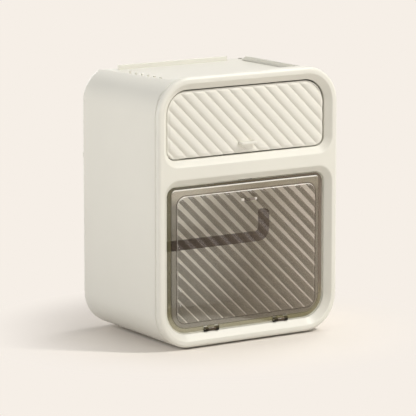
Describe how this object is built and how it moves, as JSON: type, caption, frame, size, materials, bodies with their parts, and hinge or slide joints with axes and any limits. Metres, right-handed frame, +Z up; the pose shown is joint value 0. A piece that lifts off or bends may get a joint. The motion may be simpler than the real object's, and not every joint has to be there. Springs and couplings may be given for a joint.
{
  "type": "toilet roll box with drawer",
  "caption": "Rounded ivory plastic bathroom box with a reeded drawer above a smoked flip-down door, a roll arm behind the door and a railed tray on top.",
  "frame": {"origin": "on the floor under the centre of the box", "axes": "+Z up, -Y out of the front, +X to the right as seen from the front"},
  "size_m": [0.175, 0.12, 0.22],
  "materials": {
    "ivory_shell": "fine satin",
    "ivory_drawer": "fine satin",
    "ivory_inner": "as moulded",
    "smoked_door": "polished, tinted, see-through",
    "dark_plastic": "satin",
    "steel": "bright",
    "soft_feet": "matte"
  },
  "bodies": {
    "housing": {"body_shell": "ivory_shell", "front_frame": "ivory_shell", "mid_shelf": "ivory_inner", "top_tray": "ivory_shell", "drawer_rail_left": "ivory_inner", "drawer_rail_right": "ivory_inner", "hinge_bracket_left": "dark_plastic", "hinge_bracket_right": "dark_plastic", "hinge_pin_left": "steel", "hinge_pin_right": "steel", "door_catch": "dark_plastic", "arm_socket": "dark_plastic", "socket_screws": "steel", "foot_front_left": "soft_feet", "foot_front_right": "soft_feet", "foot_rear_left": "soft_feet", "foot_rear_right": "soft_feet"},
    "drawer": {"drawer_front": "ivory_drawer", "drawer_tray": "ivory_drawer", "drawer_screws": "steel"},
    "door": {"door_panel": "smoked_door"},
    "arm": {"roll_arm": "dark_plastic"}
  },
  "joints": [
    {"name": "drawer_slide", "type": "slide", "parent": "housing", "child": "drawer", "axis": [0, -1, 0], "range_m": [0, 0.0847]},
    {"name": "door_flip", "type": "hinge", "parent": "housing", "child": "door", "pos_m": [0, -0.0553, 0.014], "axis": [1, 0, 0], "range_deg": [0, 90]},
    {"name": "arm_pull", "type": "slide", "parent": "housing", "child": "arm", "axis": [1, 0, 0], "range_m": [0, 0.0105]}
  ]
}
